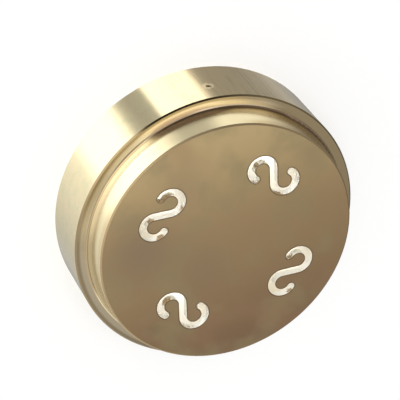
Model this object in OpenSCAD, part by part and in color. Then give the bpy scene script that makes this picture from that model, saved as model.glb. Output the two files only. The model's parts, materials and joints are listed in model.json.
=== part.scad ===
// Pasta extrusion die: one turned brass disc with a stepped front and S-shaped slots.
// Each slot is cut through a thin land at the front, and opens behind into a round
// feed pocket bored from the back. Z is the axis of the die, which lies on its back
// face with the slots up. All sizes are in millimetres.

/* [Disc] */
// Outside diameter of the rear disc, which sits in the nose of the machine
body_d = 57; // [48:0.5:70]
// Thickness of the rear disc, from the back face up to the shoulder
body_h = 13; // [8:0.5:20]
// Width of the ring-shaped shoulder that the retaining nut presses on
shoulder_w = 2.3; // [1.6:0.1:5]
// Height of the front boss above the shoulder
boss_h = 6; // [3:0.5:10]
// How much smaller the radius of the boss is at its front than at its root
boss_taper = 0.7; // [0.2:0.1:1.5]
// Radius of the fillet where the boss meets the shoulder
root_r = 0.5; // [0.3:0.1:1]
// Chamfer that breaks the outer edges
edge_c = 0.3; // [0.1:0.05:0.5]

/* [Slots] */
// Number of slots around the die
slot_n = 4; // [2:1:6]
// Width of each slot, which sets the thickness of the pasta
slot_w = 1.5; // [0.8:0.1:2]
// Radius of each bow of the S, along the middle of the slot
bow_r = 2.25; // [1.6:0.05:2.8]
// Gap between the circles of the two bows, along the middle of the slot
bow_gap = 1.1; // [0.4:0.1:2]
// Thickness of the front land that the slots are cut through
land_h = 1.5; // [1:0.1:4]

/* [Feed pockets] */
// Room between the ends of a slot and the wall of its feed pocket
pocket_room = 0.7; // [0.3:0.1:1.5]
// Metal between a feed pocket and the side of the boss at its front
pocket_wall = 3; // [2:0.25:5]
// Chamfer round the mouth of each feed pocket
mouth_c = 0.6; // [0.2:0.1:1]

/* [Hidden] */
$fn = 96;

half_turn = 180;
full_turn = 360;
// How far a cutter runs past the face that it cuts
over = 1;

body_r = body_d / 2;
boss_root_r = body_r - shoulder_w;
boss_r = boss_root_r - boss_taper;
taper_a = atan(boss_taper / boss_h);
die_h = body_h + boss_h;

// The bows' centres lie on the slot's long axis, and a straight joins the two bows
// as their inner tangent, at join_a from that axis
bow_y = bow_r + bow_gap / 2;
join_a = asin(bow_r / bow_y);
join_len = 2 * bow_y * cos(join_a);
slot_len = 2 * (bow_y + bow_r) + slot_w;

pocket_r = slot_len / 2 + pocket_room;
pocket_h = die_h - land_h;
slot_pitch_r = boss_r - pocket_wall - pocket_r;

// Filler with a hollow round for the corner, at the origin, of shoulder and tapered wall
module root_fillet() {
    reach = root_r * (1 - sin(taper_a)) / cos(taper_a);
    difference() {
        polygon([
            [0, 0],
            [reach, 0],
            [reach, root_r],
            [reach - root_r * cos(taper_a), root_r - root_r * sin(taper_a)]
        ]);
        translate([reach, root_r]) circle(root_r);
    }
}

// Half section of the turned blank: disc, tapered boss, root fillet and broken edges
module blank_section() {
    polygon([
        [0, 0],
        [body_r - edge_c, 0],
        [body_r, edge_c],
        [body_r, body_h - edge_c],
        [body_r - edge_c, body_h],
        [boss_root_r, body_h],
        [boss_r + edge_c * tan(taper_a), die_h - edge_c],
        [boss_r - edge_c, die_h],
        [0, die_h]
    ]);
    translate([boss_root_r, body_h]) root_fillet();
}

// One bow of the S about its own centre, with the round end of the slot at its free tip
module bow() {
    reach = 2 * (bow_r + slot_w);
    open_a = half_turn - join_a;
    difference() {
        circle(bow_r + slot_w / 2);
        circle(bow_r - slot_w / 2);
        // The part of the ring between the free tip and the straight is left out
        polygon([
            [0, 0],
            for (step = [0 : 2]) reach * [
                cos(half_turn + step * open_a / 2),
                sin(half_turn + step * open_a / 2)
            ]
        ]);
    }
    translate([-bow_r, 0]) intersection() {
        circle(slot_w / 2);
        translate([-slot_w / 2, -slot_w]) square(slot_w);
    }
}

// Outline of one slot: two bows, half a turn apart, and the straight between them
module slot_outline() {
    for (side = [0, 1]) rotate(side * half_turn) translate([0, bow_y]) bow();
    rotate(-join_a) square([slot_w, join_len], center = true);
}

// Feed pocket from the back face up to the land, with a chamfered mouth
module feed_pocket() {
    translate([0, 0, -over]) cylinder(r = pocket_r, h = pocket_h + over);
    translate([0, 0, -over])
        cylinder(r1 = pocket_r + mouth_c + over, r2 = pocket_r, h = mouth_c + over);
}

// The whole die, cut from one turned blank
module die_body() {
    color("#A88A5C") difference() {
        rotate_extrude() blank_section();
        for (i = [0 : slot_n - 1])
            rotate(i * full_turn / slot_n) translate([slot_pitch_r, 0, 0]) {
                feed_pocket();
                translate([0, 0, pocket_h - over])
                    linear_extrude(height = land_h + 2 * over) slot_outline();
            }
    }
}

die_body();
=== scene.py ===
import json
import math

import bmesh
import bpy
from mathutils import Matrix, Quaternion, Vector


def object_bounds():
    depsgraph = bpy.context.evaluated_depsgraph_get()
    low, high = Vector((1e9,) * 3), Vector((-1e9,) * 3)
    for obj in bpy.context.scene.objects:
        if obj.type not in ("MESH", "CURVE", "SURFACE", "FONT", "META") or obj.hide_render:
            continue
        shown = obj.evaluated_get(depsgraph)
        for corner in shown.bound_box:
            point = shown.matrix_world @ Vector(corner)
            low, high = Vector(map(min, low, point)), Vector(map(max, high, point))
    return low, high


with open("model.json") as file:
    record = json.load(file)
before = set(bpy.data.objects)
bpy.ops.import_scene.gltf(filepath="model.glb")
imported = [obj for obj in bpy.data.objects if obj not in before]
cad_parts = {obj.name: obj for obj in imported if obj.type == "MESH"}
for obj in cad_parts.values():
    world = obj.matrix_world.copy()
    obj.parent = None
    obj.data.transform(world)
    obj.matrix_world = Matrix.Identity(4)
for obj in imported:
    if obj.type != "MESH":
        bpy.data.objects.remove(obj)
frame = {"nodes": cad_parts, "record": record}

cad_low, cad_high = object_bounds()

# Driving sizes of the die: from the frame where it states them, otherwise as in the part's source
mm = 0.001
mounts = {mount["name"]: mount for mount in frame["record"]["mounts"]}
rim_r = mounts["rim"]["dims"]["r_mm"] * mm
shoulder_z = mounts["shoulder"]["pos_m"][2]
face_z = cad_high.z
shoulder_w = 2.3 * mm
boss_taper = 0.7 * mm
root_r = 0.5 * mm
edge_c = 0.3 * mm
boss_root_r = rim_r - shoulder_w
boss_r = boss_root_r - boss_taper

# Slots: two bows and the straight that joins them, and the land they are cut through
slot_n = 4
slot_pitch_r = 16 * mm
slot_w = 1.5 * mm
bow_r = 2.25 * mm
bow_gap = 1.1 * mm
bow_y = bow_r + bow_gap / 2
join_a = math.asin(bow_r / bow_y)
join_len = 2 * bow_y * math.cos(join_a)
land_h = 1.5 * mm

# Colours of the brass, of the films on it, and of the painted light and shade on it, as linear values
bright_brass = (0.86, 0.74, 0.46)
satin_brown = (0.432, 0.298, 0.157)
lit_side_gold = (0.70, 0.525, 0.272)
shaded_side_brown = (0.280, 0.172, 0.101)
shoulder_tan = (0.76, 0.64, 0.44)
shoulder_outer_tone = (0.475, 0.380, 0.230)
boss_band_and_shade = (0.60, 0.46, 0.24)
shoulder_highlight = (0.96, 0.84, 0.62)
shoulder_far_shade = (0.37, 0.285, 0.165)
root_shade = (0.42, 0.29, 0.19)
root_deep_shade = (0.22, 0.14, 0.08)
root_highlight = (0.96, 0.90, 0.73)
pale_band_brass = (0.96, 0.83, 0.54)
root_pale = (0.44, 0.34, 0.19)
edge_shade = (0.30, 0.22, 0.12)
front_edge_shade = (0.42, 0.31, 0.17)
rim_shade_line = (0.24, 0.18, 0.09)
green_film = (0.397, 0.320, 0.173)
red_film = (0.423, 0.268, 0.151)
grey_film = (0.325, 0.238, 0.148)
wall_shade_brown = (0.85, 0.68, 0.395)
wall_film = (0.63, 0.51, 0.31)
wall_green = (0.77, 0.71, 0.44)
fresh_cut = (1.0, 0.99, 0.94)
bored_brass = (0.98, 0.94, 0.84)
dark_edge = (0.16, 0.11, 0.06)
black = (0.0, 0.0, 0.0)

# Roughness of the polished sides, and what other surfaces add to it
polished_rough = 0.12
satin_rough = 0.26
shoulder_rough = 0.09
boss_rough = 0.08
bore_rough = 0.46
edge_rough = 0.3
scratch_rough = 0.3
turning_rough = 0.05

# Sides of the die with a tone of their own, or with painted light and shade: middle angle, and how far
# from it the tone ends and starts to fade
dark_root = (108, 19, 9)
lit_shoulder = (152, 60, 46)
far_shoulder = (60, 60, 40)
shoulder_highlight_side = (142, 22, 10)
streaky_shaded_wall = (100, 48, 34)
mottled_wall = (186, 58, 44)
lined_rim = (105, 56, 48)
white_boss = (150, 40, 26)
boss_band_side = (94, 26, 12)
shaded_boss = (84, 30, 14)
boss_highlight_side = (196, 44, 34)
pale_band_side = (111, 18, 8)
root_shade_side = (129, 30, 22)
far_root = (84, 44, 34)
crescent = (138, 20, 4)
tall_shade = (72, 26, 12)
dark_foot = (154, 24, 14)

# Heights above the shoulder: the painted shade in the corner, where it climbs, the painted highlight above
# it, and a paler band
shade_h = 0.8 * mm
crescent_h = 1.0 * mm
tall_shade_h = 0.9 * mm
shade_fade = (-0.3 * mm, 0.6 * mm)
highlight_fade = (1.6 * mm, 3.0 * mm)
pale_band_h = 2.1 * mm
pale_band_reach = 1.1 * mm

# Marks that use has left, by angle round the die
nick_angle = 124.8
nick_z = 8.2 * mm
nick_reach = 1.0 * mm
scratch_reach = 1.7 * mm
smudge_angle = 262.0
smudge_r = 22.0 * mm
smudge_reach = 2.2 * mm

# Soft grey patches on the front: angle, radius, reach and share
grey_patches = (
    (209.0, 17.5 * mm, 12.0 * mm, 0.75), (156.0, 17.0 * mm, 8.0 * mm, 0.3),
    (258.0, 7.5 * mm, 10.0 * mm, 0.4),
)

# Dry brown crumbs in the slots: angle, radius and reach
crumbs = (
    (171.0, 17.9 * mm, 1.8 * mm), (168.0, 17.8 * mm, 1.5 * mm), (169.0, 13.8 * mm, 1.2 * mm),
    (186.5, 17.6 * mm, 1.4 * mm), (197.6, 14.3 * mm, 1.4 * mm), (106.2, 16.9 * mm, 1.5 * mm),
    (100.8, 13.7 * mm, 1.0 * mm), (76.5, 13.7 * mm, 1.8 * mm), (11.1, 14.2 * mm, 1.4 * mm),
    (348.8, 18.9 * mm, 1.2 * mm), (255.5, 16.2 * mm, 1.7 * mm), (277.0, 18.0 * mm, 1.5 * mm),
    (281.2, 18.4 * mm, 1.5 * mm),
)


def ring_point(angle, radius, z):
    a = math.radians(angle)
    return Vector((radius * math.cos(a), radius * math.sin(a), z))


class Bench:
    """Sets out the nodes of one finish and wires them."""

    def __init__(self, tree):
        self.tree = tree

    def feed(self, socket, value):
        if isinstance(value, bpy.types.NodeSocket):
            self.tree.links.new(value, socket)
        else:
            socket.default_value = value

    def put(self, kind, feeds=None, **settings):
        made = self.tree.nodes.new(kind)
        for name, value in settings.items():
            setattr(made, name, value)
        for name, value in (feeds or {}).items():
            self.feed(made.inputs[name], value)
        return made

    def calc(self, operation, *values):
        made = self.put("ShaderNodeMath", dict(enumerate(values)), operation=operation)
        return made.outputs[0]

    def times(self, *values):
        total = values[0]
        for value in values[1:]:
            total = self.calc("MULTIPLY", total, value)
        return total

    def plus(self, *values):
        total = values[0]
        for value in values[1:]:
            total = self.calc("ADD", total, value)
        return total

    def minus(self, value, less):
        return self.calc("SUBTRACT", value, less)

    def length(self, *sides):
        return self.calc("SQRT", self.plus(*[self.times(side, side) for side in sides]))

    def ease(self, value, start, end, low=0.0, high=1.0):
        """A soft step: low up to start, high from end on."""
        feeds = {"Value": value, "From Min": start, "From Max": end, "To Min": low, "To Max": high}
        made = self.put("ShaderNodeMapRange", feeds, interpolation_type="SMOOTHSTEP")
        return made.outputs["Result"]

    def bump_at(self, value, middle, half_width):
        """A soft bump of height 1 about a middle value."""
        away = self.calc("ABSOLUTE", self.minus(value, middle))
        return self.ease(away, 0.0, half_width, 1.0, 0.0)

    def tint(self, share, under, over):
        """The under colour where share is 0 and the over colour where it is 1."""
        made = self.put("ShaderNodeMix", {"Factor": share}, data_type="RGBA")
        for index, colour in ((6, under), (7, over)):
            self.feed(made.inputs[index], (*colour, 1.0) if isinstance(colour, tuple) else colour)
        return made.outputs[2]

    def moved(self, where, shift=(0, 0, 0), scale=(1, 1, 1)):
        feeds = {"Vector": where, "Location": shift, "Scale": scale}
        return self.put("ShaderNodeMapping", feeds).outputs[0]

    def grain(self, where, scale, detail=2.0, rough=0.5):
        feeds = {"Vector": where, "Scale": scale, "Detail": detail, "Roughness": rough}
        return self.put("ShaderNodeTexNoise", feeds).outputs["Fac"]

    def lines(self, along, detail=2.0):
        """Noise along one length, for turning marks."""
        feeds = {"W": along, "Scale": 1.0, "Detail": detail, "Roughness": 0.6}
        return self.put("ShaderNodeTexNoise", feeds, noise_dimensions="1D").outputs["Fac"]

    def ramp(self, share, stops):
        made = self.put("ShaderNodeValToRGB", {"Fac": share})
        band = made.color_ramp
        while len(band.elements) < len(stops):
            band.elements.new(0.5)
        for element, (place, colour) in zip(band.elements, stops):
            element.position, element.color = place, (*colour, 1.0)
        return made.outputs["Color"]

    def rough_shift(self, where, scale, reach):
        """A small shift that makes an outline ragged."""
        feeds = {"Vector": where, "Scale": scale, "Detail": 2.0}
        colour = self.put("ShaderNodeTexNoise", feeds).outputs["Color"]
        feeds = {0: colour, 1: (0.5, 0.5, 0.5)}
        middle = self.put("ShaderNodeVectorMath", feeds, operation="SUBTRACT").outputs[0]
        feeds = {0: middle, "Scale": reach}
        return self.put("ShaderNodeVectorMath", feeds, operation="SCALE").outputs[0]

    def reach_along(self, where, angle):
        """How far a point of the piece lies from the axis towards an angle."""
        feeds = {0: where, 1: ring_point(angle, 1, 0)}
        return self.put("ShaderNodeVectorMath", feeds, operation="DOT_PRODUCT").outputs["Value"]

    def facing(self, where, radius, angle, end, start):
        """1 on the side of the die round an angle, falling to 0 between two angles from it."""
        share = self.calc("DIVIDE", self.reach_along(where, angle), radius)
        return self.ease(share, math.cos(math.radians(end)), math.cos(math.radians(start)))

    def near(self, where, point, reach):
        """1 at a point of the piece, falling to 0 at the reach."""
        away = self.put("ShaderNodeVectorMath", {0: where, 1: point}, operation="DISTANCE")
        return self.ease(away.outputs["Value"], 0.0, reach, 1.0, 0.0)


def slot_distance(b, x, y, r):
    """Distance from the middle line of the nearest S, so that its edge can be followed."""
    quarter = 2 * math.pi / slot_n
    angle = b.calc("ARCTAN2", y, x)
    turned = b.minus(angle, b.times(b.calc("ROUND", b.times(angle, 1 / quarter)), quarter))
    u = b.minus(b.times(r, b.calc("COSINE", turned)), slot_pitch_r)
    v = b.times(r, b.calc("SINE", turned))

    # Both halves of the S are alike, half a turn apart
    half = b.calc("SIGN", v)
    u, v = b.times(u, half), b.times(v, half)
    w = b.minus(v, bow_y)

    on_bow = b.calc("GREATER_THAN", b.calc("ARCTAN2", w, u), -join_a)
    to_bow = b.calc("ABSOLUTE", b.minus(b.length(u, w), bow_r))
    to_bow = b.plus(to_bow, b.minus(1.0, on_bow))
    to_tip = b.length(b.plus(u, bow_r), w)
    along = b.plus(b.times(u, math.sin(join_a)), b.times(v, math.cos(join_a)))
    across = b.minus(b.times(u, math.cos(join_a)), b.times(v, math.sin(join_a)))
    to_straight = b.length(across, b.calc("MAXIMUM", b.minus(along, join_len / 2), 0.0))
    return b.calc("MINIMUM", b.calc("MINIMUM", to_bow, to_tip), to_straight)


def brass_finish():
    """Turned brass: a satin, lightly tarnished front, and brighter polished sides and slots, with painted
    light and shade on the front, the walls, the step and the edges.
    """
    material = bpy.data.materials.new("turned_brass")
    material.use_nodes = True
    tree = material.node_tree
    tree.nodes.clear()
    b = Bench(tree)

    place = b.put("ShaderNodeTexCoord")
    here = place.outputs["Object"]
    x, y, z = b.put("ShaderNodeSeparateXYZ", {0: here}).outputs
    nz = b.put("ShaderNodeSeparateXYZ", {0: place.outputs["Normal"]}).outputs["Z"]
    r = b.length(x, y)

    def side_of(part):
        return b.facing(here, r, *part)

    # Where each surface is
    level = b.ease(b.calc("ABSOLUTE", nz), 0.80, 0.96)
    upright = b.minus(1.0, level)
    outside_slots = b.ease(r, boss_r - mm, boss_r - edge_c)
    front = b.times(level, b.ease(z, face_z - 0.4 * mm, face_z - 0.1 * mm))
    back = b.times(level, b.ease(z, 0.1 * mm, 0.4 * mm, 1.0, 0.0))
    flats = b.plus(front, back)
    ring = b.times(level, b.bump_at(z, shoulder_z, 0.6 * mm), b.ease(r, boss_r - mm, boss_r))
    boss_side = b.times(b.ease(z, shoulder_z, shoulder_z + root_r), outside_slots)
    on_boss = b.times(b.ease(z, shoulder_z, shoulder_z + 0.05 * mm), outside_slots)
    rim_side = b.ease(r, rim_r - edge_c, rim_r - edge_c / 2)
    inside = b.times(upright, b.ease(r, boss_r - 2.5 * mm, boss_r - mm, 1.0, 0.0))
    in_slot = b.times(inside, b.ease(z, face_z - land_h - 0.1 * mm, face_z - land_h))
    front_edge = b.times(boss_side, b.ease(z, face_z - edge_c, face_z - 0.8 * edge_c), upright)
    rim_edge = b.times(b.bump_at(nz, 0.7, 0.25), b.ease(r, rim_r - 1.2 * edge_c, rim_r - edge_c))
    streaky_shade = b.times(rim_side, side_of(streaky_shaded_wall))

    # Colour of the front: painted light and shade, lighter towards one side and darker towards the other,
    # with tarnish in soft patches, a smudge, and darker by the slots
    face_lit_angle = 132
    fade = b.times(b.reach_along(here, face_lit_angle), 1 / boss_r)
    green = b.ease(b.grain(here, 95.0, 3.0, 0.55), 0.42, 0.66)
    red = b.ease(b.grain(b.moved(here, (0.7, 0.3, 0.1)), 60.0, 2.0), 0.50, 0.72)
    smudge = b.near(here, ring_point(smudge_angle, smudge_r, face_z), smudge_reach)
    # Painted light and shade: lighter gold towards one side of the front, darker brown towards the other
    face_film_and_shade = b.tint(b.ease(fade, 0.0, 1.15), satin_brown, lit_side_gold)
    face_film_and_shade = b.tint(b.ease(fade, 0.2, -1.2), face_film_and_shade, shaded_side_brown)
    face_film_and_shade = b.tint(b.times(green, 0.55), face_film_and_shade, green_film)
    face_film_and_shade = b.tint(b.times(red, 0.45), face_film_and_shade, red_film)
    face_film_and_shade = b.tint(b.times(smudge, 0.25), face_film_and_shade, dark_edge)
    for angle, radius, reach, share in grey_patches:
        patch = b.near(here, ring_point(angle, radius, face_z), reach)
        face_film_and_shade = b.tint(b.times(patch, share), face_film_and_shade, grey_film)
    from_slot = b.minus(slot_distance(b, x, y, r), slot_w / 2)
    slot_edge = b.ease(from_slot, 0.08 * mm, 0.34 * mm, 1.0, 0.0)
    face_film_and_shade = b.tint(b.times(slot_edge, 0.75), face_film_and_shade, dark_edge)

    # Colour of the outer wall: painted shade that turns one side darker brown, with streaks along the axis on
    # that side, and green mottling on another
    streak = b.ease(b.grain(b.moved(here, scale=(1, 1, 0.07)), 1700.0, 4.0, 0.65), 0.46, 0.74)
    mottle = b.ease(b.grain(here, 520.0, 3.0, 0.6), 0.44, 0.68)
    # Painted shade: the outer wall turns darker brown on one side
    side = b.tint(b.times(streaky_shade, 0.8), bright_brass, wall_shade_brown)
    side = b.tint(b.times(streaky_shade, streak, 0.8), side, wall_film)
    side = b.tint(b.times(rim_side, mottle, side_of(mottled_wall), 0.8), side, wall_green)

    # Colour of the boss's wall: a darker band by its front edge, stronger on one side and absent on another,
    # and painted shade that makes one side browner
    boss_top = b.times(boss_side, b.ease(z, face_z - 2.0 * mm, face_z - 0.5 * mm))
    boss_top = b.times(boss_top, b.minus(1.0, side_of(white_boss)))
    boss_share = b.plus(b.times(side_of(boss_band_side), 0.45), 0.45)
    side = b.tint(b.times(boss_top, boss_share), side, boss_band_and_shade)
    # Painted shade: one side of the boss's wall turns browner
    side = b.tint(b.times(boss_side, side_of(shaded_boss), 0.5), side, boss_band_and_shade)

    # Colour of the pockets and slots, with dry crumbs, and painted shade on the broken edges
    feeds = {0: here, 1: b.rough_shift(here, 1400.0, 1.3 * mm)}
    loose = b.put("ShaderNodeVectorMath", feeds, operation="ADD").outputs[0]
    crumb = 0.0
    for angle, radius, reach in crumbs:
        lump = b.near(loose, ring_point(angle, radius, face_z - 0.4 * mm), reach)
        crumb = b.calc("MAXIMUM", crumb, lump)
    side = b.tint(inside, side, bored_brass)
    side = b.tint(in_slot, side, fresh_cut)
    side = b.tint(b.times(in_slot, b.ease(crumb, 0.2, 0.6), 0.9), side, satin_brown)
    # Painted shade: the broken edges are darkened, the rim's edge most on one side
    side = b.tint(front_edge, side, front_edge_shade)
    side = b.tint(rim_edge, side, b.tint(side_of(lined_rim), edge_shade, rim_shade_line))

    # A nick in the outer wall, with a light scratch about it; the dark pit of the nick is painted shade
    nick_at = ring_point(nick_angle, rim_r, nick_z)
    nick = b.near(loose, nick_at, nick_reach)
    scratch = b.times(b.near(loose, nick_at, scratch_reach), b.minus(1.0, nick))
    side = b.tint(b.ease(nick, 0.35, 0.65), side, dark_edge)
    colour = b.tint(flats, side, face_film_and_shade)

    # Colour of the shoulder: it darkens outwards, has a painted highlight by its inner edge on one side, and
    # painted shade on the side away from the light, darkest on the far side
    shoulder_shade = b.minus(1.0, side_of(lit_shoulder))
    inner_highlight = b.times(side_of(shoulder_highlight_side), b.ease(r, rim_r - 1.0 * mm, rim_r - 0.6 * mm, 1.0, 0.0))
    shoulder = b.tint(b.ease(r, rim_r - 1.2 * mm, rim_r - 0.6 * mm), shoulder_tan, shoulder_outer_tone)
    # Painted highlight: pale metal by the shoulder's inner edge on one side
    shoulder = b.tint(inner_highlight, shoulder, shoulder_highlight)
    # Painted shade: darker away from the lit side, darkest on the far side
    shoulder = b.tint(b.times(shoulder_shade, 0.35), shoulder, black)
    shoulder = b.tint(b.times(shoulder_shade, side_of(far_shoulder)), shoulder, shoulder_far_shade)
    colour = b.tint(ring, colour, shoulder)

    # Colour of the corner of the step: painted shade in the corner on one side, and a painted highlight above
    # it on another side
    climb = b.plus(b.times(side_of(crescent), crescent_h), b.times(side_of(tall_shade), tall_shade_h))
    shade_z = b.plus(climb, shoulder_z + shade_h)
    shaded = b.times(on_boss, b.ease(b.minus(z, shade_z), *shade_fade, 1.0, 0.0))
    shaded = b.times(shaded, b.calc("MAXIMUM", side_of(root_shade_side), side_of(far_root)), 0.92)
    colour = b.tint(shaded, colour, b.tint(side_of(dark_root), root_shade, root_deep_shade))
    # Painted highlight: the boss's wall pale just above the corner on one side, darker right by the fillet
    boss_highlight = b.ease(z, shoulder_z + highlight_fade[0], shoulder_z + highlight_fade[1], 1.0, 0.0)
    boss_highlight = b.times(boss_highlight, on_boss, side_of(boss_highlight_side))
    # A paler band on one side of the boss's wall, a little above the corner
    pale_band = b.times(b.bump_at(z, shoulder_z + pale_band_h, pale_band_reach), on_boss, side_of(pale_band_side))
    colour = b.tint(pale_band, colour, pale_band_brass)
    above_root = b.ease(z, shoulder_z + 0.6 * root_r, shoulder_z + 1.1 * root_r)
    colour = b.tint(boss_highlight, colour, b.tint(above_root, root_pale, root_highlight))
    # Painted shade: a dark line along the foot of the fillet on one side
    foot = b.times(b.bump_at(z, shoulder_z, 0.16 * mm), b.bump_at(r, boss_root_r + 0.26 * mm, 0.26 * mm))
    colour = b.tint(b.times(foot, side_of(dark_foot)), colour, edge_shade)

    # Roughness: satin flats, polished sides, with fine marks of the lathe
    turning = b.lines(b.times(b.plus(r, z), 5200.0))
    rough = b.plus(b.times(flats, satin_rough), b.times(ring, shoulder_rough), b.times(boss_side, boss_rough))
    rough = b.plus(rough, b.times(inside, bore_rough), b.times(front_edge, edge_rough))
    rough = b.plus(rough, b.times(scratch, scratch_rough), polished_rough)
    rough = b.plus(rough, b.times(b.minus(turning, 0.5), turning_rough))

    marks = b.put("ShaderNodeBump", {"Height": turning, "Strength": 0.05, "Distance": 0.02 * mm})
    surface = b.put("ShaderNodeBsdfPrincipled", {
        "Base Color": colour, "Metallic": 1.0, "Roughness": rough, "Normal": marks.outputs[0],
    })
    b.put("ShaderNodeOutputMaterial", {"Surface": surface.outputs[0]})
    return material


# Floor: a wide round sheet just under the die, half lit by the lamp and half by its own glow
floor_r = 4.0
floor_drop = 0.02 * mm
paper_grey = (0.5, 0.5, 0.5, 1.0)
paper_white = (1.0, 1.0, 1.0, 1.0)
paper_glow = 0.5


def floor_finish():
    """Plain white paper that keeps a soft shadow."""
    material = bpy.data.materials.new("white_paper")
    material.use_nodes = True
    tree = material.node_tree
    tree.nodes.clear()
    b = Bench(tree)
    paper = b.put("ShaderNodeBsdfDiffuse", {"Color": paper_grey})
    ray = b.put("ShaderNodeLightPath")
    mirrored = b.calc("MAXIMUM", ray.outputs["Is Glossy Ray"], ray.outputs["Is Transmission Ray"])
    seen = b.calc("MAXIMUM", ray.outputs["Is Camera Ray"], mirrored)
    glow = b.put("ShaderNodeEmission", {"Color": paper_white, "Strength": b.times(seen, paper_glow)})
    both = b.put("ShaderNodeAddShader", {0: paper.outputs[0], 1: glow.outputs[0]})
    b.put("ShaderNodeOutputMaterial", {"Surface": both.outputs[0]})
    return material


def lay_floor():
    sheet = bmesh.new()
    bmesh.ops.create_circle(sheet, cap_ends=True, segments=96, radius=floor_r)
    mesh = bpy.data.meshes.new("floor")
    sheet.to_mesh(mesh)
    sheet.free()
    floor = bpy.data.objects.new("floor", mesh)
    mesh.materials.append(floor_finish())
    bpy.context.scene.collection.objects.link(floor)
    floor.location.z = -floor_drop
    floor.visible_glossy = False


# What polished metal shows of the room: light panels and the gaps between them, as level by
# compass angle about the axis, in four belts from below the die to overhead, over a light table
belt_under = (
    (-180, 2.00), (-156, 1.95), (-144, 1.15), (-132, 1.00), (-120, 0.92), (-108, 0.80), (-96, 0.71),
    (-84, 0.62), (-60, 0.55), (-48, 0.47), (-36, 0.33), (-20, 0.20), (0, 0.36), (24, 0.48), (40, 0.38),
    (60, 0.33), (88, 0.36), (93, 0.45), (100, 1.75), (136, 1.75), (139, 0.50), (153, 0.42), (161, 0.62),
    (169, 1.70), (175, 1.95), (180, 2.00),
)
belt_low = (
    (-180, 2.10), (-150, 1.80), (-132, 1.00), (-110, 0.90), (-84, 0.96), (-68, 0.98), (-52, 0.70),
    (-36, 0.24), (4, 0.14), (20, 0.18), (36, 0.38), (52, 0.82), (68, 1.25), (100, 1.20), (112, 0.42),
    (134, 0.38), (148, 1.40), (160, 2.00), (180, 2.10),
)
belt_side = (
    (-180, 2.20), (-160, 2.00), (-146, 1.50), (-132, 1.15), (-108, 1.10), (-84, 1.10), (-60, 0.95),
    (-30, 0.42), (0, 0.30), (24, 0.34), (40, 0.42), (54, 0.52), (70, 0.56), (82, 0.45), (96, 0.25),
    (106, 0.14), (146, 0.12), (154, 0.25), (162, 2.10), (180, 2.20),
)
belt_above = (
    (-180, 1.00), (-150, 0.86), (-138, 0.62), (-110, 0.56), (-92, 0.60), (-70, 0.82), (-50, 0.95),
    (-20, 0.90), (0, 0.74), (22, 0.70), (36, 0.85), (52, 1.30), (72, 1.40), (100, 1.35), (140, 1.35),
    (156, 1.10), (180, 1.00),
)
light_table = 7.0
panel_top = 7.0
room_glow = 0.75
room_white = 1.0

# Heights, as the upward part of a direction, between which one belt passes into the next
table_end = (-0.97, -0.925)
under_end = (-0.76, -0.70)
low_end = (-0.42, -0.18)
side_end = (0.70, 0.84)


def light_room():
    """A white room: plain white to the camera, light panels to polished metal, an even glow besides."""
    world = bpy.data.worlds.new("studio")
    bpy.context.scene.world = world
    world.use_nodes = True
    world.cycles.sampling_method = "NONE"
    tree = world.node_tree
    tree.nodes.clear()
    b = Bench(tree)
    towards = b.put("ShaderNodeSeparateXYZ", {0: b.put("ShaderNodeTexCoord").outputs["Generated"]})
    x, y, z = towards.outputs
    compass = b.plus(b.times(b.calc("ARCTAN2", y, x), 0.5 / math.pi), 0.5)

    def levels(belt):
        stops = [((angle + 180) / 360, (level / panel_top,) * 3) for angle, level in belt]
        return b.ramp(compass, stops)

    seen = b.tint(b.ease(z, *table_end), (light_table / panel_top,) * 3, levels(belt_under))
    seen = b.tint(b.ease(z, *under_end), seen, levels(belt_low))
    seen = b.tint(b.ease(z, *low_end), seen, levels(belt_side))
    seen = b.tint(b.ease(z, *side_end), seen, levels(belt_above))
    ray = b.put("ShaderNodeLightPath")
    strength = b.plus(b.times(ray.outputs["Is Glossy Ray"], panel_top - room_glow), room_glow)
    strength = b.plus(strength, b.times(ray.outputs["Is Camera Ray"], room_white - room_glow))
    colour = b.tint(ray.outputs["Is Glossy Ray"], (1.0, 1.0, 1.0), seen)
    glow = b.put("ShaderNodeBackground", {"Color": colour, "Strength": strength})
    b.put("ShaderNodeOutputWorld", {"Surface": glow.outputs[0]})


def hang_lamp(name, azimuth, elevation, away, size, power):
    """A soft square lamp that points at the middle of the die."""
    a, e = math.radians(azimuth), math.radians(elevation)
    towards = Vector((math.cos(a) * math.cos(e), math.sin(a) * math.cos(e), math.sin(e)))
    lamp = bpy.data.lights.new(name, "AREA")
    lamp.shape, lamp.size, lamp.energy = "SQUARE", size, power
    hung = bpy.data.objects.new(name, lamp)
    hung.location = Vector((0.0, 0.0, face_z / 2)) + towards * away
    hung.rotation_mode = "QUATERNION"
    hung.rotation_quaternion = towards.to_track_quat("Z", "Y")
    hung.visible_glossy = False
    bpy.context.scene.collection.objects.link(hung)
    return hung


# Camera: where it stands, what it aims at, its turn about its own axis, and its lens
camera_stand = Vector((-202.211, 91.606, 301.586)) * mm
camera_aim = Vector((-10.894, 5.687, 19.0)) * mm
camera_roll = 143.351
lens_length = 170.0
sensor_width = 36.0


def set_camera():
    """The photograph's view: a long lens above the die, turned about its own axis."""
    camera = bpy.data.cameras.new("camera")
    camera.lens, camera.sensor_width = lens_length, sensor_width
    held = bpy.data.objects.new("camera", camera)
    look = (camera_aim - camera_stand).to_track_quat("-Z", "Y")
    held.location = camera_stand
    held.rotation_mode = "QUATERNION"
    held.rotation_quaternion = look @ Quaternion((0, 0, 1), math.radians(camera_roll))
    camera.clip_start, camera.clip_end = 0.01, 20.0
    bpy.context.scene.collection.objects.link(held)
    bpy.context.scene.camera = held


die = frame["nodes"]["die_body"]
die.data.materials.clear()
die.data.materials.append(brass_finish())

lay_floor()
light_room()
hang_lamp("key_lamp", azimuth=150.0, elevation=62.0, away=0.9, size=0.5, power=3.0)
set_camera()
bpy.context.scene.view_settings.view_transform = "Standard"
